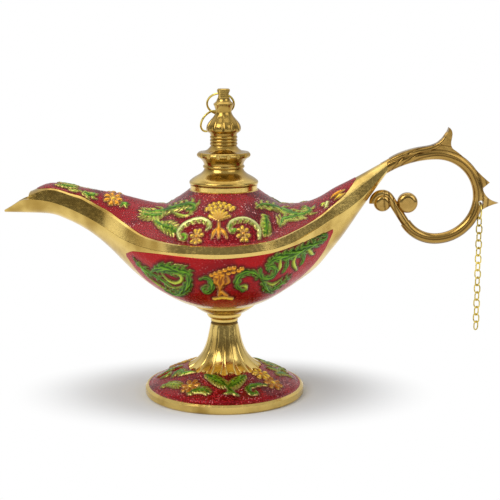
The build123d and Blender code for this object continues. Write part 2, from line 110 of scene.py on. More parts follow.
# Where the lights aim, and the shape and edge of the floor's round patch that keeps the real shadow and is
# itself a painted shadow, darker than the glowing floor around it, in metres
LIGHT_AIM = Vector((0, 0, 0.06))
SHADOW_SHAPE = (0.8, 1.25, 1.0)
SHADOW_EDGE = (0.030, 0.068)
# Axes of places that are given from above and from the front
PLAN = (0, 1)
FRONT = (0, 2)

# Colour of each enamel from its valleys to its ridges: painted shade in the valleys and painted highlight
# on the ridges
ENAMELS = {
    "green": ((0.003, 0.028, 0.003), (0.20, 0.46, 0.02)),
    "lime": ((0.02, 0.10, 0.006), (0.58, 0.68, 0.06)),
    "pale": ((0.05, 0.12, 0.02), (0.72, 0.74, 0.26)),
    "amber": ((0.30, 0.07, 0.006), (1.0, 0.66, 0.05)),
    "orange": ((0.24, 0.04, 0.004), (0.95, 0.40, 0.02)),
}

# Ornament, picked in enlarged views of the photo: left and top pixel of each view, and its scale
BODY_VIEW = (95, 175, 6)
SPOUT_VIEW = (0, 165, 10)
FOOT_VIEW = (135, 350, 9)
# A stroke is its enamel, half widths along it in millimetres, and its points in the view. Feathers along it
# are their reach in millimetres, how many there are on a side, and the sides of the stroke that have them.
RIGHT = (-1,)
LEFT = (1,)
BOTH = (-1, 1)
COVER_STROKES = [
    ("orange", (0.5, 0.9, 0.4), [(742, 290), (742, 335), (742, 382)]),
    ("orange", (0.4, 0.85, 0.4), [(742, 318), (715, 345), (702, 378)]),
    ("orange", (0.4, 0.85, 0.4), [(744, 318), (772, 345), (792, 378)]),
    ("pale", (0.7, 1.0, 0.9, 0.5), [(512, 388), (500, 352), (528, 307), (580, 277), (640, 266), (684, 285),
                                    (692, 315), (668, 330)], (1.6, 8, RIGHT)),
    ("green", (0.5, 0.9), [(512, 388), (540, 392), (548, 370), (530, 360)]),
    ("pale", (0.7, 1.0, 0.9, 0.5), [(986, 388), (986, 342), (965, 302), (920, 271), (860, 266), (815, 286),
                                    (800, 318), (826, 330)], (1.6, 8, LEFT)),
    ("green", (0.5, 0.8), [(812, 300), (806, 330), (826, 345), (838, 330)]),
    ("green", (0.8, 1.6, 1.5, 0.5), [(556, 214), (590, 214), (596, 190), (566, 178), (520, 188), (470, 200),
                                     (410, 220), (340, 228), (265, 215)], (3.6, 11, BOTH)),
    ("lime", (0.4, 0.9, 0.4), [(590, 222), (556, 246), (510, 246), (462, 226)]),
    ("green", (0.5, 1.5, 0.4), [(430, 222), (380, 246), (320, 246), (272, 236)], (3.0, 7, BOTH)),
    ("lime", (0.4, 0.8, 0.3), [(520, 190), (490, 214), (440, 222)]),
    ("green", (0.5, 1.6, 1.5, 0.5), [(968, 200), (1000, 182), (1060, 190), (1125, 212), (1190, 236),
                                     (1250, 240), (1290, 220), (1272, 200), (1240, 204)], (3.6, 11, BOTH)),
    ("lime", (0.4, 0.9, 0.3), [(1060, 196), (1110, 220), (1150, 246)]),
    ("green", (0.5, 1.6, 0.4), [(1112, 312), (1128, 272), (1190, 258), (1262, 246)], (3.2, 8, BOTH)),
    ("lime", (0.4, 0.8, 0.3), [(1000, 190), (1040, 208), (1090, 214)]),
    ("green", (0.8, 1.6, 1.2), [(362, 284), (430, 312), (492, 342)], (2.4, 7, BOTH)),
    ("green", (0.9, 1.4, 1.1), [(1020, 252), (1024, 300), (1020, 358)], (2.2, 6, BOTH)),
    ("lime", (0.9, 0.9), [(1366, 182), (1376, 178)]),
    ("pale", (0.8, 0.8), [(1388, 194), (1396, 168)]),
    ("orange", (0.5, 1.1, 0.4), [(1418, 140), (1452, 116), (1496, 92)]),
    ("amber", (0.4, 0.9, 0.3), [(1440, 150), (1470, 128), (1500, 112)]),
]
SPOUT_STROKES = [
    ("green", (0.5, 1.2, 0.5), [(560, 204), (630, 214), (700, 226), (775, 232)], (1.8, 5, BOTH)),
    ("lime", (0.4, 0.8, 0.4), [(690, 252), (750, 268), (805, 262)]),
    ("green", (0.4, 1.2, 0.4), [(812, 268), (868, 298), (925, 312), (945, 280)], (1.8, 4, BOTH)),
    ("green", (0.4, 1.2, 0.4), [(1205, 420), (1235, 395), (1290, 400)]),
    ("green", (0.4, 1.0, 0.4), [(1215, 380), (1250, 400), (1265, 430)]),
]
# Rows of crinkles: how many, both ends of the first in the view, and the step of each end to the next
COVER_CRINKLES = [
    (6, (352, 262), (366, 300), (26, 13), (25, 9)),
    (3, (398, 316), (412, 344), (24, 10), (24, 6)),
    (6, (1004, 246), (1036, 252), (3, 24), (-4, 24)),
]
# Root and tips of the shell's rays, and the ruffle over it, in the view
SHELL_ROOT = (745, 278)
SHELL_TIPS = [(688, 250), (702, 230), (722, 218), (745, 213), (769, 218), (789, 230), (805, 250)]
RUFFLE = [(672, 208), (690, 188), (715, 177), (745, 171), (775, 176), (805, 187), (830, 200), (856, 216)]
# Shifts of the ruffle's two rows along X and Y, and the length of its puffs, in millimetres
RUFFLE_ROWS = ((0.0, 0.0), (0.6, -1.5))
RUFFLE_PUFF = 0.5
# Half widths of strokes that repeat, and half the lengths of a berry and a flower's heart, in millimetres
SHELL_WIDTHS = (0.3, 0.75)
CRINKLE_WIDTHS = (0.75, 0.5)
RUFFLE_WIDTHS = (0.95, 0.7)
BERRY_WIDTHS = (0.8, 0.8)
BERRY_HALF = 0.2
HEART_HALF = 0.05
FEATHER_WIDTHS = (0.5, 0.62, 0.25)
# Middle and tip of a feather, as shares of its reach out from the stroke and on along it
FEATHER_MIDDLE = (0.6, 0.2)
FEATHER_TIP = (0.95, 0.9)
# Where the first feather stands and where their sizes start to swell, in pitches of the feathers
FEATHER_START = 0.6
FEATHER_SWELL = 0.8
# Shape of a flower, as shares of its radius
PETALS = 7
PETAL_START = 0.45
PETAL_WIDTHS = (0.2, 0.42)
HEART = 0.4
# Flowers: enamel, heart, middle in the view, and radius in millimetres
COVER_FLOWERS = [("amber", "orange", (610, 372), 1.9), ("amber", "orange", (890, 355), 1.9)]
SPOUT_FLOWERS = [("orange", "amber", (1130, 342), 2.7)]
BOWL_STROKES = [
    ("green", (0.5, 1.3, 1.0, 0.5), [(238, 500), (270, 535), (318, 572), (376, 606), (436, 646),
                                     (502, 692)], (2.0, 6, BOTH)),
    ("lime", (0.3, 0.7, 0.3), [(300, 590), (360, 636), (424, 676), (486, 706)]),
    ("green", (0.4, 1.0, 0.4), [(262, 520), (300, 566), (330, 610)]),
    ("green", (0.6, 2.2, 1.8, 0.9), [(352, 566), (420, 556), (490, 572), (548, 578), (574, 592)],
     (2.9, 7, BOTH)),
    ("green", (0.8, 1.9, 1.5, 0.7), [(566, 590), (566, 640), (540, 690), (500, 712), (446, 694),
                                     (404, 664)], (2.6, 7, RIGHT)),
    ("lime", (0.4, 0.9, 0.8, 0.4), [(402, 584), (432, 618), (482, 642), (520, 628), (516, 598), (484, 588),
                                    (458, 598)]),
    ("lime", (0.3, 0.7, 0.4), [(380, 590), (420, 640), (480, 672), (528, 662)]),
    ("green", (0.6, 1.4, 1.2, 0.6), [(632, 622), (668, 612), (700, 640), (694, 688), (662, 698), (650, 672),
                                     (670, 658)], (1.5, 5, RIGHT)),
    ("orange", (1.5, 2.3, 1.0, 0.8), [(755, 606), (752, 636), (750, 669), (750, 708)]),
    ("orange", (0.5, 0.7, 0.4), [(792, 604), (802, 638), (768, 656)]),
    ("orange", (0.5, 0.7, 0.4), [(716, 612), (722, 642), (748, 656)]),
    ("amber", (0.8, 0.9, 0.8), [(716, 736), (768, 730), (820, 736)]),
    ("orange", (0.8, 0.7), [(756, 694), (744, 716)]),
    ("orange", (0.8, 0.7), [(756, 694), (790, 718)]),
    ("green", (0.9, 1.3, 1.2, 0.6), [(886, 688), (852, 662), (858, 612), (898, 582), (948, 580), (980, 604),
                                     (966, 624)], (1.9, 6, RIGHT)),
    ("lime", (0.5, 0.9, 0.5), [(906, 684), (900, 660), (876, 662)]),
    ("green", (0.8, 1.4, 1.2, 0.6), [(988, 566), (998, 608), (1048, 612), (1082, 572), (1062, 542),
                                     (1034, 552), (1042, 578)], (1.6, 5, LEFT)),
    ("green", (0.8, 2.0, 1.7, 0.8), [(1030, 538), (1064, 506), (1116, 490), (1166, 478), (1214, 462),
                                     (1262, 436), (1318, 410), (1372, 380)], (2.6, 9, BOTH)),
    ("lime", (0.6, 0.9, 0.4), [(1106, 504), (1106, 546), (1084, 584)]),
    ("green", (0.8, 1.3, 0.5), [(1150, 496), (1144, 544), (1120, 584)]),
    ("lime", (0.6, 1.0, 0.5), [(1200, 478), (1186, 524), (1206, 568)]),
    ("green", (0.7, 1.3, 0.5), [(1236, 458), (1246, 500), (1226, 540)]),
    ("lime", (0.6, 1.0, 0.4), [(1270, 440), (1298, 470), (1312, 470)]),
    ("green", (0.6, 1.5, 1.2, 0.4), [(998, 620), (1020, 668), (1046, 690), (1092, 662), (1140, 622),
                                     (1172, 596)], (2.0, 6, BOTH)),
    ("lime", (0.4, 0.8, 0.3), [(1016, 636), (1062, 650), (1122, 616)]),
    ("green", (0.7, 1.2, 1.0, 0.5), [(1306, 404), (1300, 376), (1340, 357), (1378, 356), (1376, 384),
                                     (1342, 382)]),
]
# Middles of the berries over the urn, in the view
URN_BERRIES = [(700, 598), (724, 588), (750, 578), (778, 570), (806, 560), (834, 556), (862, 572),
               (880, 560), (730, 606), (764, 596), (800, 588), (830, 580)]
FOOT_STROKES = [
    ("green", (0.6, 2.0, 1.7, 0.7), [(636, 232), (700, 258), (760, 292), (826, 336)], (2.6, 7, BOTH)),
    ("green", (0.6, 2.0, 1.7, 0.7), [(990, 240), (936, 276), (884, 318), (836, 346)], (2.6, 7, BOTH)),
    ("green", (0.8, 1.2, 0.4), [(826, 336), (872, 386), (932, 416)]),
    ("green", (0.7, 0.8, 0.3), [(704, 262), (744, 232)]),
    ("green", (0.7, 0.8, 0.3), [(750, 290), (792, 262)]),
    ("green", (0.7, 0.8, 0.3), [(930, 282), (948, 228)]),
    ("green", (0.7, 0.8, 0.3), [(880, 318), (868, 268)]),
    ("lime", (0.6, 0.5, 0.3), [(776, 312), (720, 314)]),
    ("green", (0.7, 0.8, 0.3), [(880, 392), (800, 396)]),
    ("green", (0.5, 1.5, 0.5), [(480, 402), (540, 372), (620, 366), (672, 398)], (2.0, 6, BOTH)),
    ("green", (0.6, 1.6, 0.6), [(346, 244), (404, 196), (452, 226)], (2.0, 6, BOTH)),
    ("green", (0.5, 1.1, 0.4), [(396, 238), (470, 214), (560, 202)]),
    ("lime", (0.5, 1.3, 0.5), [(240, 338), (320, 312), (424, 332)], (2.0, 6, BOTH)),
    ("green", (0.4, 1.0, 0.4), [(230, 262), (300, 236), (330, 200)]),
    ("green", (0.6, 1.3, 1.2, 0.6), [(1176, 322), (1092, 320), (1020, 346), (1036, 392), (1092, 402),
                                     (1084, 372)]),
    ("green", (0.5, 1.6, 0.5), [(1272, 224), (1340, 218), (1420, 252)], (2.0, 6, BOTH)),
    ("green", (0.5, 1.5, 0.5), [(1190, 166), (1250, 178), (1310, 196)], (2.0, 6, BOTH)),
]
FOOT_FLOWERS = [("orange", "amber", (500, 332), 2.9), ("amber", "orange", (1130, 222), 2.7),
                ("orange", "amber", (1240, 302), 2.9)]


class Field:
    """A socket of a node tree that Python operators can use."""

    def __init__(self, tree, socket):
        self.tree = tree
        self.socket = socket

    def node(self, kind, settings=None, inputs=None, output=0):
        """Adds a node, makes its settings, gives its sockets values or links, and returns an output."""
        made = self.tree.nodes.new(kind)
        for key, value in (settings or {}).items():
            setattr(made, key, value)
        for key, value in (inputs or {}).items():
            if isinstance(value, Field):
                self.tree.links.new(value.socket, made.inputs[key])
            else:
                made.inputs[key].default_value = value
        return Field(self.tree, made.outputs[output])

    def maths(self, operation, first, second):
        """The result of a sum on two fields or numbers."""
        return self.node("ShaderNodeMath", {"operation": operation}, {0: first, 1: second})

    def __add__(self, other):
        return self.maths("ADD", self, other)

    def __radd__(self, other):
        return self.maths("ADD", other, self)

    def __sub__(self, other):
        return self.maths("SUBTRACT", self, other)

    def __rsub__(self, other):
        return self.maths("SUBTRACT", other, self)

    def __mul__(self, other):
        return self.maths("MULTIPLY", self, other)

    def __rmul__(self, other):
        return self.maths("MULTIPLY", other, self)

    def step(self, low, high):
        """0 below low, 1 above high and smooth between them."""
        return self.node("ShaderNodeMapRange", {"interpolation_type": "SMOOTHSTEP"},
                         {"Value": self, "From Min": low, "From Max": high})

    def mix(self, low, high):
        """Colour low where this is 0 and high where it is 1."""
        return self.node("ShaderNodeMix", {"data_type": "RGBA"}, {0: self, 6: low, 7: high}, 2)


def tree_of(owner):
    """Empties the node tree of a material or world, and returns a field on it and its output node."""
    owner.use_nodes = True
    tree = owner.node_tree
    tree.nodes.clear()
    kind = "ShaderNodeOutputWorld" if isinstance(owner, bpy.types.World) else "ShaderNodeOutputMaterial"
    return Field(tree, None), tree.nodes.new(kind)


def rgba(colour):
    """A colour with its full opacity."""
    return (*colour, 1.0)


def brass_finish(name, tones, roughness, scratch_scale, scratch_depth, age=0.0, grooves=None, joint=None):
    """Polished brass: uneven tone, a cast skin and file marks.

    Grooves is the colour of painted shade in the handle's grooves, and joint that of painted shade in the
    foot's joint.
    """
    material = bpy.data.materials.new(name)
    base, out = tree_of(material)
    place = base.node("ShaderNodeTexCoord", output="Object")
    cloud = base.node("ShaderNodeTexNoise", None, {"Vector": place, "Scale": 70.0, "Detail": 3.0})
    skin = base.node("ShaderNodeTexNoise", None, {"Vector": place, "Scale": 900.0, "Detail": 4.0})
    along = base.node("ShaderNodeMapping", None, {"Vector": place, "Scale": scratch_scale})
    file_marks = base.node("ShaderNodeTexNoise", None, {"Vector": along, "Scale": 1.0, "Detail": 5.0})
    worn = cloud.step(0.38 + 0.25 * age, 0.66 + 0.25 * age)
    colour = worn.mix(rgba(tones[0]), rgba(tones[1]))
    rough = roughness + 0.12 * skin.step(0.35, 0.75) + 0.1 * file_marks.step(0.5, 0.8)
    height = 0.35 * skin + file_marks
    # The valleys of the handle's grooves are sunk by the bump and darkened with painted shade
    if grooves:
        away = base.node("ShaderNodeVectorMath", {"operation": "SUBTRACT"}, {0: place, 1: HANDLE_CENTRE})
        flat = base.node("ShaderNodeVectorMath", {"operation": "MULTIPLY"}, {0: away, 1: (1, 0, 1)})
        ring = base.node("ShaderNodeVectorMath", {"operation": "LENGTH"}, {0: flat}, "Value")
        wave = base.node("ShaderNodeMath", {"operation": "SINE"}, {0: ring * GROOVE_RATE + 3.0 * cloud})
        band = ring.step(*GROOVES_START) * (1.0 - ring.step(*GROOVES_END))
        shaded_groove = 1.0 - 0.75 * band * (1.0 - wave.step(-0.95, -0.1))
        height = height + 9.0 * shaded_groove
        colour = shaded_groove.mix(rgba(grooves), colour)
        rough = rough + 0.12 - 0.12 * shaded_groove
    # A painted shade darkens the brass in a band at the joint between bowl and foot
    if joint:
        high = base.node("ShaderNodeSeparateXYZ", None, {0: place}, "Z")
        joint_shade = high.step(*JOINT_SHADE_START) * (1.0 - high.step(*JOINT_SHADE_END))
        colour = (0.85 * joint_shade).mix(colour, rgba(joint))
        rough = rough + 0.3 * joint_shade
    bump = base.node("ShaderNodeBump", None, {"Height": height, "Strength": 0.5, "Distance": scratch_depth})
    metal = base.node("ShaderNodeBsdfPrincipled", None,
                      {"Base Color": colour, "Metallic": 1.0, "Roughness": rough, "Normal": bump})
    base.tree.links.new(metal.socket, out.inputs["Surface"])
    return material


def enamel_finish(name, looks, stipple, grain_depth, sparkle):
    """Glossy enamel with the shine of the brass below it, a punched ground with painted glints and maroon
    hollows that are partly painted shade, and bare brass edges.
    """
    material = bpy.data.materials.new(name)
    base, out = tree_of(material)
    place = base.node("ShaderNodeTexCoord", output="Object")
    tint = base.node("ShaderNodeAttribute", {"attribute_name": "tint"})
    bare = base.node("ShaderNodeAttribute", {"attribute_name": "bare"}, output="Fac")
    grain = base.node("ShaderNodeAttribute", {"attribute_name": "grain"}, output="Fac")
    cells = base.node("ShaderNodeTexVoronoi", None, {"Vector": place, "Scale": stipple, "Randomness": 0.9})
    flow = base.node("ShaderNodeTexNoise", None, {"Vector": place, "Scale": 260.0, "Detail": 4.0})
    drift = base.node("ShaderNodeTexNoise", None, {"Vector": place, "Scale": 75.0, "Detail": 2.0})
    dome = 1.0 - cells.step(0.1, 0.62)
    # Painted glints on the tops of the punched domes; the maroon in the hollows between them is partly the
    # deeper enamel there and partly painted shade, and the drifting maroon clouds are the enamel's own
    # uneven colour
    glint = grain * dome.step(0.5, 0.95) * flow.step(0.42, 0.6) * (0.35 + 0.65 * drift.step(0.45, 0.6))
    pool_and_shade = grain * (1.0 - dome)
    shaded = (0.65 * sparkle * pool_and_shade + 0.4 * grain * drift.step(0.52, 0.68)).mix(tint, rgba(looks.maroon))
    lit = (0.9 * sparkle * glint).mix(shaded, rgba(looks.glint))
    colour = bare.mix(lit, rgba(looks.edge))
    rough = 0.24 + 0.14 * flow.step(0.4, 0.7)
    height = grain * dome + 0.35 * flow
    bump = base.node("ShaderNodeBump", None, {"Height": height, "Strength": 0.7, "Distance": grain_depth})
    glaze = base.node("ShaderNodeBsdfPrincipled", None,
                      {"Base Color": colour, "Metallic": 0.62 + 0.38 * bare, "Roughness": rough,
                       "Specular IOR Level": 0.2, "Coat Weight": 0.18 - 0.18 * bare, "Coat Roughness": 0.08,
                       "Normal": bump})
    base.tree.links.new(glaze.socket, out.inputs["Surface"])
    return material


def dress(obj, material):
    """Gives an object one material all over."""
    obj.data.materials.clear()
    obj.data.materials.append(material)


def value_on(line, x):
    """Height at x of a smooth curve through points, without overshoot."""
    px, py = np.array(line, float).T
    slope = np.diff(py) / np.diff(px)
    both = slope[:-1] * slope[1:]
    inner = np.where(both > 0, 2 * both / (slope[:-1] + slope[1:] + TINY), 0)
    tangent = np.concatenate([slope[:1], inner, slope[-1:]])
    span = np.clip(np.searchsorted(px, x) - 1, 0, len(slope) - 1)
    run = px[span + 1] - px[span]
    t = (x - px[span]) / run
    rise = py[span] + (py[span + 1] - py[span]) * t * t * (3 - 2 * t)
    return rise + run * t * (1 - t) * ((1 - t) * tangent[span] - t * tangent[span + 1])


def strike(node, origin, direction):
    """First point of a node's surface from an origin along a direction, all in millimetres."""
    found, place, _, _ = NODES[node].ray_cast(Vector(origin) * MM, Vector(direction))
    if not found:
        raise RuntimeError(f"no surface of {node} along {direction} from {origin}")
    return np.array(place) / MM


def seen_on(node, view, line, axes):
    """Places on a node, along two axes in millimetres, that the camera sees at points of an enlarged view.

    A point that lies above the node in the view slides down until it meets it.
    """
    stage = bpy.context.scene.lamp_stage
    left, top, scale = view
    turn = Euler((stage.tilt, 0, 0)).to_matrix()
    pixel = SENSOR / stage.lens / PHOTO
    places = []
    for across, down in line:
        found = False
        while not found and down < PHOTO * scale:
            right = (left + across / scale - PHOTO / 2) * pixel
            up = (PHOTO / 2 - top - down / scale) * pixel
            ray = turn @ Vector((right, up, -1.0))
            found, place, _, _ = NODES[node].ray_cast(CAMERA, ray.normalized())
            down += 1
        if not found:
            raise RuntimeError(f"no surface of {node} below a point of its view at {across}")
        places.append(tuple(place[axis] / MM for axis in axes))
    return places


def laid(node, view, strokes, feather, axes):
    """Strokes and the feathers along them, with the points carried to a node."""
    made = []
    for enamel, widths, line, *fringes in strokes:
        places = seen_on(node, view, line, axes)
        made.append((enamel, widths, places))
        for reach, count, sides in fringes:
            made += fringe(feather, places, reach, count, sides)
    return made


def blossoms(node, view, flowers, axes):
    """Strokes of flowers whose middles are carried to a node."""
    made = []
    for enamel, heart, middle, radius in flowers:
        made += flower(enamel, heart, *seen_on(node, view, [middle], axes), radius)
    return made


def smooth_path(points):
    """Points close together on a smooth curve through a few points, in millimetres."""
    p = np.array(points, float)
    p = np.vstack([2 * p[0] - p[1], p, 2 * p[-1] - p[-2]])
    out = []
    for a, b, c, d in zip(p, p[1:], p[2:], p[3:]):
        count = max(2, int(np.linalg.norm(c - b) / PATH_PITCH) + 1)
        t = np.linspace(0, 1, count, endpoint=False)[:, None]
        out.append(b + 0.5 * t * (c - a + t * (2 * a - 5 * b + 4 * c - d + t * (3 * (b - c) + d - a))))
    return np.vstack([*out, p[-2:-1]])


def flower(enamel, heart, middle, radius):
    """Strokes of a round flower with a heart."""
    x, y = middle
    strokes = [(heart, (radius * HEART, radius * HEART), [(x - HEART_HALF, y), (x + HEART_HALF, y)])]
    widths = tuple(radius * share for share in PETAL_WIDTHS)
    for i in range(PETALS):
        turn = 2 * math.pi * i / PETALS
        across = radius * math.cos(turn)
        up = radius * math.sin(turn)
        root = (x + PETAL_START * across, y + PETAL_START * up)
        strokes.append((enamel, widths, [root, (x + across, y + up)]))
    return strokes


def fringe(enamel, line, reach, count, sides):
    """Short feathers that lean forward along the sides of a stroke, longest at its middle."""
    path = smooth_path(line)
    strokes = []
    for side in sides:
        for k in range(count):
            at = int((k + FEATHER_START) / count * (len(path) - 2))
            run = path[at + 1] - path[at]
            run = run / (np.linalg.norm(run) + TINY)
            out = side * np.array([-run[1], run[0]])
            swell = (k + FEATHER_SWELL) / (count + FEATHER_SWELL)
            size = reach * math.sin(math.pi * swell) ** 0.5
            shares = ((0, 0), FEATHER_MIDDLE, FEATHER_TIP)
            feather = [path[at] + size * (a * out + b * run) for a, b in shares]
            strokes.append((enamel, FEATHER_WIDTHS, feather))
    return strokes


class Relief:
    """Height, colour with painted shade and highlight, and bare edges of raised ornament over a set of
    points, in millimetres.
    """

    # How far around a stroke points are looked at, and the gap of those that no stroke is near
    NEAR = 2.5
    NO_STROKE = 9.0
    # From which half width a stroke is a leaf, and the depth and pitch of a leaf's lobes
    LEAF_WIDTH = 1.2
    LOBE_DEPTH = 0.16
    LOBE_PITCH = 2.9
    # From which half width a stroke has its full height, and the strands along a leaf
    FULL_WIDTH = 0.8
    STRANDS_ACROSS = 1.5
    STRANDS_ALONG = 0.12
    STRAND_RISE = 0.28
    STRAND_TINT = 0.8
    # Reach of the dark outline, run of a stroke's colour at its edge, its bare edge, and run of the grain
    OUTLINE_REACH = 1.3
    EDGE_RUN = 0.12
    EDGE_SHARE = 0.3
    BARE_INSET = 0.14
    BARE_REACH = 0.24
    GRAIN_REACH = 0.5

    def __init__(self, points, ground, outline, edge):
        self.points = points
        self.edge = edge
        self.ground = np.array(ground)
        self.outline = np.array(outline)
        self.height = np.zeros(len(points))
        self.gap = np.full(len(points), self.NO_STROKE)
        self.tint = np.zeros((len(points), 3))

    def add(self, enamel, widths, line, carry):
        """Raises one stroke whose points are carried on to the surface."""
        flat = smooth_path(line)
        path = np.array([carry(a, b) for a, b in flat])
        run = np.concatenate([[0], np.cumsum(np.linalg.norm(np.diff(path, axis=0), axis=1))])
        width = np.interp(run / run[-1], np.linspace(0, 1, len(widths)), widths)
        reach = max(widths) + self.NEAR
        near = np.all((self.points > path.min(0) - reach) & (self.points < path.max(0) + reach), axis=1)
        here = self.points[near]
        if not len(here):
            return
        leafy = max(widths) >= self.LEAF_WIDTH
        best = np.full(len(here), np.inf)
        gap = np.full(len(here), self.NO_STROKE)
        place = np.zeros(len(here))
        wide = np.ones(len(here))
        for a, b, wa, wb, ra, rb in zip(path, path[1:], width, width[1:], run, run[1:]):
            step = b - a
            t = np.clip((here - a) @ step / max(step @ step, TINY), 0, 1)
            far = np.linalg.norm(here - a - t[:, None] * step, axis=1)
            w = wa + (wb - wa) * t
            along = ra + (rb - ra) * t
            if leafy:
                w = w * (1 + self.LOBE_DEPTH * np.cos(2 * math.pi * along / self.LOBE_PITCH))
            share = far / w
            closer = share < best
            best = np.where(closer, share, best)
            gap = np.where(closer, far - w, gap)
            place = np.where(closer, along, place)
            wide = np.where(closer, w, wide)
        rise = np.sqrt(np.clip(1 - best ** 2, 0, 1)) * np.minimum(1, wide / self.FULL_WIDTH)
        strand = np.ones(len(here))
        if leafy:
            turns = self.STRANDS_ACROSS * best + self.STRANDS_ALONG * place
            strand = 0.5 + 0.5 * np.cos(2 * math.pi * turns)
        rise = rise * (1 - self.STRAND_RISE + self.STRAND_RISE * strand)
        # A stroke's colour runs from painted shade where it is low to painted highlight where it is high,
        # striped by its strands
        low, high = np.array(ENAMELS[enamel])
        share = np.clip(rise ** 2 * (1 - self.STRAND_TINT + self.STRAND_TINT * strand), 0, 1)[:, None]
        colour = low + (high - low) * share
        over = rise > self.height[near]
        index = np.flatnonzero(near)
        self.height[index[over]] = rise[over]
        self.tint[index[over]] = colour[over]
        self.gap[index] = np.minimum(self.gap[index], gap)

    def finish(self):
        """Colour of strokes and ground, bare edges of the strokes, and grain of the ground."""
        depth = np.clip(self.gap / self.OUTLINE_REACH, 0, 1)[:, None]
        ground = self.outline + (self.ground - self.outline) * depth
        inside = np.clip(-self.gap / self.EDGE_RUN + self.EDGE_SHARE, 0, 1)[:, None]
        tint = ground + (self.tint - ground) * inside
        bare = np.clip(1 - np.abs(self.gap + self.BARE_INSET) / self.BARE_REACH, 0, 1) * self.edge
        grain = np.clip(self.gap / self.GRAIN_REACH, 0, 1)
        return tint, bare, grain


def pick(obj):
    """Selects one object alone and makes it the active one."""
    bpy.ops.object.select_all(action="DESELECT")
    obj.select_set(True)
    bpy.context.view_layer.objects.active = obj


def name_piece(obj, name):
    """Gives an object and its mesh one name."""
    obj.name = name
    obj.data.name = name


def add_grid(name, columns, rows):
    """A flat grid and its vertices in order of row and column."""
    bpy.ops.object.select_all(action="DESELECT")
    bpy.ops.mesh.primitive_grid_add(x_subdivisions=columns - 1, y_subdivisions=rows - 1, size=2.0)
    obj = bpy.context.object
    name_piece(obj, name)
    flat = np.zeros(len(obj.data.vertices) * 3)
    obj.data.vertices.foreach_get("co", flat)
    flat = flat.reshape(-1, 3).round(5)
    return obj, np.lexsort((flat[:, 0], flat[:, 1]))


def eased(surface, rounds):
    """Evens out creases in a grid of points, leaving its border."""
    made = surface.copy()
    for _ in range(rounds):
        middle = (made[:-2, 1:-1] + made[2:, 1:-1] + made[1:-1, :-2] + made[1:-1, 2:]) / 4
        made[1:-1, 1:-1] = 0.5 * made[1:-1, 1:-1] + 0.5 * middle
    return made


def round_end(along, start, run):
    """Share of a panel's width that is left along an end that is round from a start on."""
    return np.sqrt(np.clip(1 - np.clip((along - start) / run, 0, 1) ** 2, LEAST_END, 1))


def outward(surface, away):
    """Unit normals of a grid of points, on the side that faces away from a centre."""
    normal = np.cross(np.gradient(surface, axis=1), np.gradient(surface, axis=0))
    normal /= np.linalg.norm(normal, axis=2, keepdims=True) + TINY
    side = np.sign((normal * (surface - np.array(away))).sum(2, keepdims=True))
    return normal * np.where(side == 0, 1, side)


def raise_panel(obj, order, surface, normal, relief, looks, wrap):
    """Moves a grid's vertices to the enamel's face and stores its colour, edges and grain.

    A panel that wraps around the lamp has no edges at its first and last column.
    """
    rows, columns = surface.shape[:2]
    lift = looks.thickness / MM + relief.height.reshape(rows, columns) * looks.height / MM
    lift[[0, -1], :] = -SUNK_EDGE
    if not wrap:
        lift[:, [0, -1]] = -SUNK_EDGE
    made = (surface + normal * lift[..., None]).reshape(-1, 3)
    tint, bare, grain = relief.finish()
    count = len(order)
    co = np.zeros((count, 3))
    co[order] = made * MM
    obj.data.vertices.foreach_set("co", co.ravel())
    colours = np.ones((count, 4))
    colours[order, :3] = np.clip(tint, 0, 1)
    layer = obj.data.attributes.new("tint", "FLOAT_COLOR", "POINT")
    layer.data.foreach_set("color", colours.ravel())
    for name, values in (("bare", bare), ("grain", grain)):
        ordered = np.zeros(count)
        ordered[order] = values
        obj.data.attributes.new(name, "FLOAT", "POINT").data.foreach_set("value", ordered)
    obj.data.update()


def drop_faces(obj, unwanted):
    """Deletes the faces that a test of their middle picks."""
    bpy.ops.object.mode_set(mode="EDIT")
    bpy.ops.mesh.select_mode(type="FACE")
    bpy.ops.mesh.select_all(action="DESELECT")
    bpy.ops.object.mode_set(mode="OBJECT")
    for face in obj.data.polygons:
        face.select = unwanted(face.center / MM)
    bpy.ops.object.mode_set(mode="EDIT")
    bpy.ops.mesh.delete(type="FACE")
    bpy.ops.object.mode_set(mode="OBJECT")


def close_panel(obj, away):
    """Merges doubled vertices, turns the faces away from a centre and smooths the shading."""
    pick(obj)
    bpy.ops.object.mode_set(mode="EDIT")
    bpy.ops.mesh.select_all(action="SELECT")
    bpy.ops.mesh.remove_doubles(threshold=2e-6)
    bpy.ops.object.mode_set(mode="OBJECT")
    middle = Vector(away) * MM
    facing = sum((p.center - middle).dot(p.normal) * p.area for p in obj.data.polygons)
    if facing < 0:
        bpy.ops.object.mode_set(mode="EDIT")
        bpy.ops.mesh.select_all(action="SELECT")
        bpy.ops.mesh.flip_normals()
        bpy.ops.object.mode_set(mode="OBJECT")
    bpy.ops.object.shade_smooth()


def colour_setting(name, description, default):
    """A colour that a user may change."""
    return bpy.props.FloatVectorProperty(name=name, description=description, subtype="COLOR", size=3,
                                         default=default)


def number_setting(name, description, unit, default):
    """A measure that a user may change."""
    return bpy.props.FloatProperty(name=name, description=description, unit=unit, default=default)


class LampBrass(bpy.types.PropertyGroup):
    """Brass of the castings and the wire."""

    tone: colour_setting("Tone", "Polished brass", (0.78, 0.56, 0.17))
    shade: colour_setting("Shade", "Brass that the polish missed", (0.44, 0.28, 0.065))
    # Painted shade in the handle's grooves and in the foot's joint
    shaded_groove: colour_setting("Groove", "Dirt in grooves and in the foot's joint", (0.16, 0.085, 0.02))
    warm: colour_setting("Warm", "Warm brass of the handle", (0.66, 0.44, 0.14))
    aged: colour_setting("Aged", "Dull brass of the handle", (0.40, 0.24, 0.06))
    wire: colour_setting("Wire", "Pale brass of the chain and rings", (0.90, 0.72, 0.17))
    wire_shade: colour_setting("Wire shade", "Dull brass of the chain and rings", (0.55, 0.42, 0.07))


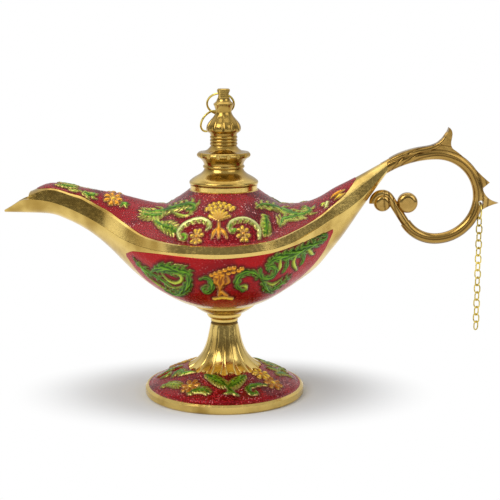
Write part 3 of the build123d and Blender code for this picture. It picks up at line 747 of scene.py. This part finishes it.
class LampEnamel(bpy.types.PropertyGroup):
    """Enamel of the cover, bowl and foot."""

    crimson: colour_setting("Crimson", "Ground of the cover and foot", (0.56, 0.005, 0.012))
    deep_red: colour_setting("Deep red", "Ground of the bowl", (0.46, 0.005, 0.006))
    # Maroon in the punched hollows is partly painted shade
    maroon: colour_setting("Maroon", "Red where the enamel pools", (0.11, 0.002, 0.005))
    outline: colour_setting("Outline", "Dark enamel around the ornament", (0.09, 0.002, 0.004))
    glint: colour_setting("Glint", "Light in the punched ground", (1.0, 0.55, 0.52))
    edge: colour_setting("Edge", "Bare brass edge of the ornament", (0.66, 0.45, 0.14))
    thickness: number_setting("Thickness", "Enamel over the brass", "LENGTH", 0.00016)
    height: number_setting("Height", "Rise of the ornament", "LENGTH", 0.0008)


class LampStage(bpy.types.PropertyGroup):
    """Floor, light and camera."""

    floor: colour_setting("Floor", "Pale floor", (0.87, 0.89, 0.92))
    key: number_setting("Key light", "Power of the main soft light", "POWER", 3.0)
    fill: number_setting("Fill light", "Power of the second and the top soft light", "POWER", 1.1)
    side: number_setting("Side light", "Power of the low light at the spout", "POWER", 0.2)
    lens: number_setting("Lens", "Focal length", "CAMERA", 88.2)
    tilt: number_setting("Tilt", "Camera's turn from looking straight down", "ROTATION", math.radians(79.6))


class LAMP_OT_castings(bpy.types.Operator):
    """Gives the cast and turned brass pieces their finish."""

    bl_idname = "lamp.castings"
    bl_label = "Castings"

    def execute(self, context):
        looks = context.scene.lamp_brass
        polished = (looks.shade, looks.tone)
        warm = (looks.aged, looks.warm)
        mark_depth = 0.00005
        body = brass_finish("body_brass", polished, roughness=0.17, scratch_scale=(60.0, 1500.0, 1500.0),
                            scratch_depth=mark_depth, age=-0.4, joint=looks.shaded_groove)
        turned = brass_finish("turned_brass", polished, roughness=0.16, scratch_scale=(90.0, 90.0, 2200.0),
                              scratch_depth=mark_depth, age=0.4)
        stem = brass_finish("stem_brass", polished, roughness=0.15, scratch_scale=(600.0, 600.0, 60.0),
                            scratch_depth=mark_depth, age=-0.5, joint=looks.shaded_groove)
        cast = brass_finish("handle_brass", warm, roughness=0.14, scratch_scale=(400.0, 500.0, 400.0),
                            scratch_depth=mark_depth, age=0.2, grooves=looks.shaded_groove)
        for node in ("bowl", "cover"):
            dress(NODES[node], body)
        dress(NODES["lid"], turned)
        for node in ("foot", "foot_screw", "foot_washer"):
            dress(NODES[node], stem)
        dress(NODES["handle"], cast)
        return {"FINISHED"}


class LAMP_OT_handle_ridges(bpy.types.Operator):
    """Raises the chased ridges along both sides of the handle's crest and leaf tips."""

    bl_idname = "lamp.handle_ridges"
    bl_label = "Handle ridges"

    def execute(self, context):
        tubes = []
        for number, (half, line) in enumerate(HANDLE_RIDGES):
            for side in (-1, 1):
                bpy.ops.object.select_all(action="DESELECT")
                bpy.ops.curve.primitive_bezier_curve_add(location=(0, 0, 0))
                tube = context.object
                tube.name = f"handle_ridge_{number}_{'front' if side < 0 else 'back'}"
                spline = tube.data.splines[0]
                spline.bezier_points.add(len(line) - 2)
                for point, (x, z, size) in zip(spline.bezier_points, line):
                    point.co = (x * MM, side * half * MM, z * MM)
                    point.handle_left_type = "AUTO"
                    point.handle_right_type = "AUTO"
                    point.radius = size
                tube.data.bevel_depth = MM
                tube.data.bevel_resolution = 4
                tube.data.resolution_u = 16
                tube.data.use_fill_caps = True
                bpy.ops.object.convert(target="MESH")
                tubes.append(context.object)
        bpy.ops.object.select_all(action="DESELECT")
        for tube in tubes:
            tube.select_set(True)
        context.view_layer.objects.active = tubes[0]
        bpy.ops.object.join()
        ridges = context.object
        name_piece(ridges, "handle_ridges")
        bpy.ops.object.mode_set(mode="EDIT")
        bpy.ops.mesh.select_all(action="SELECT")
        bpy.ops.mesh.normals_make_consistent(inside=False)
        bpy.ops.object.mode_set(mode="OBJECT")
        bpy.ops.object.transform_apply(location=True, rotation=True, scale=True)
        bpy.ops.object.shade_smooth()
        dress(ridges, bpy.data.materials["handle_brass"])
        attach(ridges, "lamp_body")
        return {"FINISHED"}


class LAMP_OT_wires(bpy.types.Operator):
    """Gives the chain and the lid's rings their finish."""

    bl_idname = "lamp.wires"
    bl_label = "Chain and rings"

    def execute(self, context):
        looks = context.scene.lamp_brass
        wire = brass_finish("wire_brass", (looks.wire_shade, looks.wire), roughness=0.2,
                            scratch_scale=(700.0, 700.0, 700.0), scratch_depth=0.00003)
        for node in NODES:
            if node.startswith(("chain_", "lid_ring")):
                dress(NODES[node], wire)
        return {"FINISHED"}


class LAMP_OT_cover_enamel(bpy.types.Operator):
    """Lays the enamel and its ornament on the cover."""

    bl_idname = "lamp.cover_enamel"
    bl_label = "Cover enamel"

    def execute(self, context):
        looks = context.scene.lamp_enamel
        columns, rows = COVER_GRID
        obj, order = add_grid("cover_enamel", columns, rows)
        along = np.linspace(*COVER_ENAMEL_X, columns)
        half = value_on(ROOF_EDGE, along) - COVER_MARGIN
        for start, run in COVER_ENDS:
            half *= round_end(along, start, run)
        x = np.broadcast_to(along, (rows, columns)).copy()
        y = np.linspace(-1, 1, rows)[:, None] * half
        r = np.hypot(x, y)
        onto = (r < NECK_R) & (r > NECK_R - NECK_REACH)
        x[onto] *= NECK_R / r[onto]
        y[onto] *= NECK_R / r[onto]
        height = np.full_like(x, NECK_Z)
        for j, i in np.argwhere(np.hypot(x, y) > NECK_R - NECK_SLACK):
            height[j, i] = strike("cover", (x[j, i], y[j, i], FAR), (0, 0, -1))[2]
        even = eased(np.dstack([x, y, height]), rounds=6)
        even[..., 2] = np.maximum(even[..., 2], height)
        normal = outward(even, BELOW_LAMP)

        def carry(a, b):
            i = int(round((a - along[0]) / (along[1] - along[0])))
            j = int(round((b / half[i] + 1) / 2 * (rows - 1)))
            return np.array([a, b, even[min(max(j, 0), rows - 1), i, 2]])

        # The back repeats the front, mirrored
        points = even.reshape(-1, 3).copy()
        points[:, 1] = -np.abs(points[:, 1])
        relief = Relief(points, looks.crimson, looks.outline, edge=0.75)
        strokes = laid("cover", BODY_VIEW, COVER_STROKES, "lime", PLAN)
        strokes += laid("cover", SPOUT_VIEW, SPOUT_STROKES, "lime", PLAN)
        strokes += blossoms("cover", BODY_VIEW, COVER_FLOWERS, PLAN)
        strokes += blossoms("cover", SPOUT_VIEW, SPOUT_FLOWERS, PLAN)
        rays = [("amber", SHELL_WIDTHS, [SHELL_ROOT, tip]) for tip in SHELL_TIPS]
        for count, top, foot, top_step, foot_step in COVER_CRINKLES:
            for k in range(count):
                ends = [(top[0] + k * top_step[0], top[1] + k * top_step[1]),
                        (foot[0] + k * foot_step[0], foot[1] + k * foot_step[1])]
                rays.append(("lime", CRINKLE_WIDTHS, ends))
        strokes += laid("cover", BODY_VIEW, rays, "lime", PLAN)
        ruffle = seen_on("cover", BODY_VIEW, RUFFLE, PLAN)
        for row, (shift_x, shift_y) in enumerate(RUFFLE_ROWS):
            for a, b in ruffle[row:-1 - row]:
                puff = [(a + shift_x, b + shift_y), (a + shift_x, b + shift_y - RUFFLE_PUFF)]
                strokes.append(("amber", RUFFLE_WIDTHS, puff))
        for stroke in strokes:
            relief.add(*stroke, carry)
        raise_panel(obj, order, even, normal, relief, looks, wrap=False)
        drop_faces(obj, lambda middle: math.hypot(middle.x, middle.y) < NECK_R - NECK_SLACK)
        close_panel(obj, BELOW_LAMP)
        dress(obj, enamel_finish("cover_enamel", looks, stipple=1150.0, grain_depth=0.0005, sparkle=1.0))
        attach(obj, "lamp_body")
        return {"FINISHED"}


class LAMP_OT_bowl_enamel(bpy.types.Operator):
    """Lays the enamel and its ornament on both sides of the bowl."""

    bl_idname = "lamp.bowl_enamel"
    bl_label = "Bowl enamel"

    def execute(self, context):
        looks = context.scene.lamp_enamel
        columns, rows = BOWL_GRID
        obj, order = add_grid("bowl_enamel_front", columns, rows)
        along = np.linspace(*BOWL_ENAMEL_X, columns)
        seam = value_on(BOWL_SEAM, along)
        away = np.zeros((rows, columns, 3))
        reach = np.zeros((rows, columns))
        for i, x in enumerate(along):
            middle = np.array([x, 0.0, seam[i]])
            ends = []
            for line in (BOWL_LOW, BOWL_TOP):
                edge = strike("bowl", (x, -FAR, float(value_on(line, x))), (0, 1, 0))
                ends.append(math.atan2(-edge[1], seam[i] - edge[2]))
            for j, turn in enumerate(np.linspace(*ends, rows)):
                out = np.array([0.0, -math.sin(turn), -math.cos(turn)])
                away[j, i] = out
                reach[j, i] = np.linalg.norm(strike("bowl", middle + AROUND_BOWL * out, -out) - middle)
        axis = np.stack([along, np.zeros(columns), seam], axis=1)
        surface = eased(axis + away * reach[..., None], rounds=3)
        normal = outward(surface, INSIDE_BOWL)

        def carry(a, b):
            i = int(round((a - along[0]) / (along[1] - along[0])))
            j = int(np.argmin(np.abs(surface[:, i, 2] - b)))
            return np.array([a, surface[j, i, 1], b])

        relief = Relief(surface.reshape(-1, 3), looks.deep_red, looks.outline, edge=0.3)
        strokes = laid("bowl", BODY_VIEW, BOWL_STROKES, "green", FRONT)
        for x, z in seen_on("bowl", BODY_VIEW, URN_BERRIES, FRONT):
            strokes.append(("orange", BERRY_WIDTHS, [(x - BERRY_HALF, z), (x + BERRY_HALF, z)]))
        for stroke in strokes:
            relief.add(*stroke, carry)
        raise_panel(obj, order, surface, normal, relief, looks, wrap=False)
        close_panel(obj, INSIDE_BOWL)
        dress(obj, enamel_finish("bowl_enamel", looks, stipple=1100.0, grain_depth=0.0001, sparkle=0.15))
        pick(obj)
        bpy.ops.object.duplicate()
        back = context.object
        name_piece(back, "bowl_enamel_back")
        bpy.ops.transform.mirror(constraint_axis=(False, True, False))
        bpy.ops.object.transform_apply(location=True, rotation=True, scale=True)
        close_panel(back, INSIDE_BOWL)
        for side in (obj, back):
            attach(side, "lamp_body")
        return {"FINISHED"}


class LAMP_OT_foot_enamel(bpy.types.Operator):
    """Lays the enamel and its ornament on the foot."""

    bl_idname = "lamp.foot_enamel"
    bl_label = "Foot enamel"

    def execute(self, context):
        looks = context.scene.lamp_enamel
        columns, rows = FOOT_GRID
        obj, order = add_grid("foot_enamel", columns, rows)
        turn = np.linspace(0, 2 * math.pi, columns)
        inner = FOOT_PETAL_R - FOOT_PETAL_RISE * np.cos(FOOT_PETALS * turn - math.pi)
        width = FOOT_ENAMEL_R - inner
        radius = inner + np.linspace(0, 1, rows)[:, None] * width
        x = radius * np.cos(turn)
        y = radius * np.sin(turn)
        height = np.zeros_like(x)
        for j, i in np.ndindex(x.shape):
            height[j, i] = strike("foot", (x[j, i], y[j, i], FAR), (0, 0, -1))[2]
        surface = eased(np.dstack([x, y, height]), rounds=3)
        normal = outward(surface, BELOW_LAMP)

        def carry(a, b):
            i = int(round((math.atan2(b, a) % (2 * math.pi)) / (2 * math.pi) * (columns - 1)))
            j = int(round((math.hypot(a, b) - inner[i]) / width[i] * (rows - 1)))
            return np.array([a, b, surface[min(max(j, 0), rows - 1), i, 2]])

        # The back repeats the front, turned by half a turn
        points = surface.reshape(-1, 3).copy()
        points[points[:, 1] > 0, :2] *= -1
        relief = Relief(points, looks.crimson, looks.outline, edge=0.75)
        strokes = laid("foot", FOOT_VIEW, FOOT_STROKES, "lime", PLAN)
        strokes += blossoms("foot", FOOT_VIEW, FOOT_FLOWERS, PLAN)
        for stroke in strokes:
            relief.add(*stroke, carry)
        raise_panel(obj, order, surface, normal, relief, looks, wrap=True)
        close_panel(obj, BELOW_LAMP)
        dress(obj, enamel_finish("foot_enamel", looks, stipple=1150.0, grain_depth=0.0004, sparkle=0.9))
        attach(obj, "lamp_body")
        return {"FINISHED"}


class LAMP_OT_stage(bpy.types.Operator):
    """Sets the floor, the soft lights and the camera."""

    bl_idname = "lamp.stage"
    bl_label = "Stage"

    def execute(self, context):
        scene = context.scene
        looks = scene.lamp_stage
        bpy.ops.object.select_all(action="DESELECT")
        bpy.ops.mesh.primitive_circle_add(vertices=96, radius=1.6, fill_type="NGON")
        floor = context.object
        floor.name = "floor"
        material = bpy.data.materials.new("floor")
        base, out = tree_of(material)
        place = base.node("ShaderNodeTexCoord", output="Object")
        wide = base.node("ShaderNodeMapping", None, {"Vector": place, "Scale": SHADOW_SHAPE})
        far = base.node("ShaderNodeVectorMath", {"operation": "LENGTH"}, {0: wide}, "Value")
        paper = base.node("ShaderNodeBsdfDiffuse", None, {"Color": rgba(looks.floor)})
        glow = base.node("ShaderNodeEmission", None, {"Color": (1, 1, 1, 1), "Strength": 1.0})
        camera_ray = base.node("ShaderNodeLightPath", output="Is Camera Ray")
        glossy_ray = base.node("ShaderNodeLightPath", output="Is Glossy Ray")
        through_ray = base.node("ShaderNodeLightPath", output="Is Transmission Ray")
        # Near the lamp the floor is lit paper, darker than the glowing floor around it, a painted soft
        # shadow around the foot besides the real one
        share = far.step(*SHADOW_EDGE) * (camera_ray + glossy_ray + through_ray)
        both = base.node("ShaderNodeMixShader", None, {0: share, 1: paper, 2: glow})
        base.tree.links.new(both.socket, out.inputs["Surface"])
        dress(floor, material)

        world = bpy.data.worlds.new("studio")
        scene.world = world
        base, out = tree_of(world)
        look = base.node("ShaderNodeTexCoord", output="Generated")
        ahead = base.node("ShaderNodeSeparateXYZ", None, {0: look}, "Y")
        high = base.node("ShaderNodeSeparateXYZ", None, {0: look}, "Z")
        camera_ray = base.node("ShaderNodeLightPath", output="Is Camera Ray")
        glossy_ray = base.node("ShaderNodeLightPath", output="Is Glossy Ray")
        shine = 0.20 + 0.34 * high.step(0.25, 0.8) + 0.45 * ahead.step(0.0, 0.6)
        level = 0.25 * (1.0 - glossy_ray) + shine * glossy_ray
        strength = camera_ray + (1.0 - camera_ray) * level
        sky = base.node("ShaderNodeBackground", None, {"Color": (1, 1, 1, 1), "Strength": strength})
        base.tree.links.new(sky.socket, out.inputs["Surface"])

        # Name, place and size in metres, and power of each soft light
        for name, place, size, power in (
            ("key_light", (-0.45, -0.45, 0.65), 0.5, looks.key),
            ("fill_light", (0.55, -0.40, 0.45), 0.5, looks.fill),
            ("top_light", (0.0, 0.15, 0.75), 0.6, looks.fill),
            ("side_light", (-0.60, -0.22, 0.16), 0.3, looks.side),
        ):
            bpy.ops.object.light_add(type="AREA", location=place)
            lamp = context.object
            lamp.name = name
            lamp.data.size = size
            lamp.data.energy = power
            lamp.rotation_euler = (LIGHT_AIM - Vector(place)).to_track_quat("-Z", "Y").to_euler()

        bpy.ops.object.camera_add(location=CAMERA, rotation=(looks.tilt, 0, 0))
        camera = context.object
        camera.name = "camera"
        camera.data.lens = looks.lens
        camera.data.sensor_width = SENSOR
        camera.data.clip_start = 0.01
        scene.camera = camera
        scene.view_settings.view_transform = "Standard"
        return {"FINISHED"}


class LAMP_PT_panel(bpy.types.Panel):
    """Steps that dress the lamp."""

    bl_idname = "LAMP_PT_panel"
    bl_label = "Genie oil lamp"
    bl_space_type = "VIEW_3D"
    bl_region_type = "UI"
    bl_category = "Lamp"

    def draw(self, context):
        for step in STEPS:
            self.layout.operator(step.bl_idname)
        for group in (context.scene.lamp_brass, context.scene.lamp_enamel, context.scene.lamp_stage):
            for name in group.bl_rna.properties.keys():
                if name not in ("rna_type", "name"):
                    self.layout.prop(group, name)


STEPS = (LAMP_OT_castings, LAMP_OT_handle_ridges, LAMP_OT_wires, LAMP_OT_cover_enamel, LAMP_OT_bowl_enamel,
         LAMP_OT_foot_enamel, LAMP_OT_stage)
CLASSES = (LampBrass, LampEnamel, LampStage, *STEPS, LAMP_PT_panel)


def register():
    for cls in CLASSES:
        bpy.utils.register_class(cls)
    bpy.types.Scene.lamp_brass = bpy.props.PointerProperty(type=LampBrass)
    bpy.types.Scene.lamp_enamel = bpy.props.PointerProperty(type=LampEnamel)
    bpy.types.Scene.lamp_stage = bpy.props.PointerProperty(type=LampStage)


def unregister():
    del bpy.types.Scene.lamp_stage
    del bpy.types.Scene.lamp_enamel
    del bpy.types.Scene.lamp_brass
    for cls in reversed(CLASSES):
        bpy.utils.unregister_class(cls)


def main():
    register()
    bpy.ops.lamp.castings()
    bpy.ops.lamp.handle_ridges()
    bpy.ops.lamp.wires()
    bpy.ops.lamp.cover_enamel()
    bpy.ops.lamp.bowl_enamel()
    bpy.ops.lamp.foot_enamel()
    bpy.ops.lamp.stage()


if __name__ == "__main__":
    main()
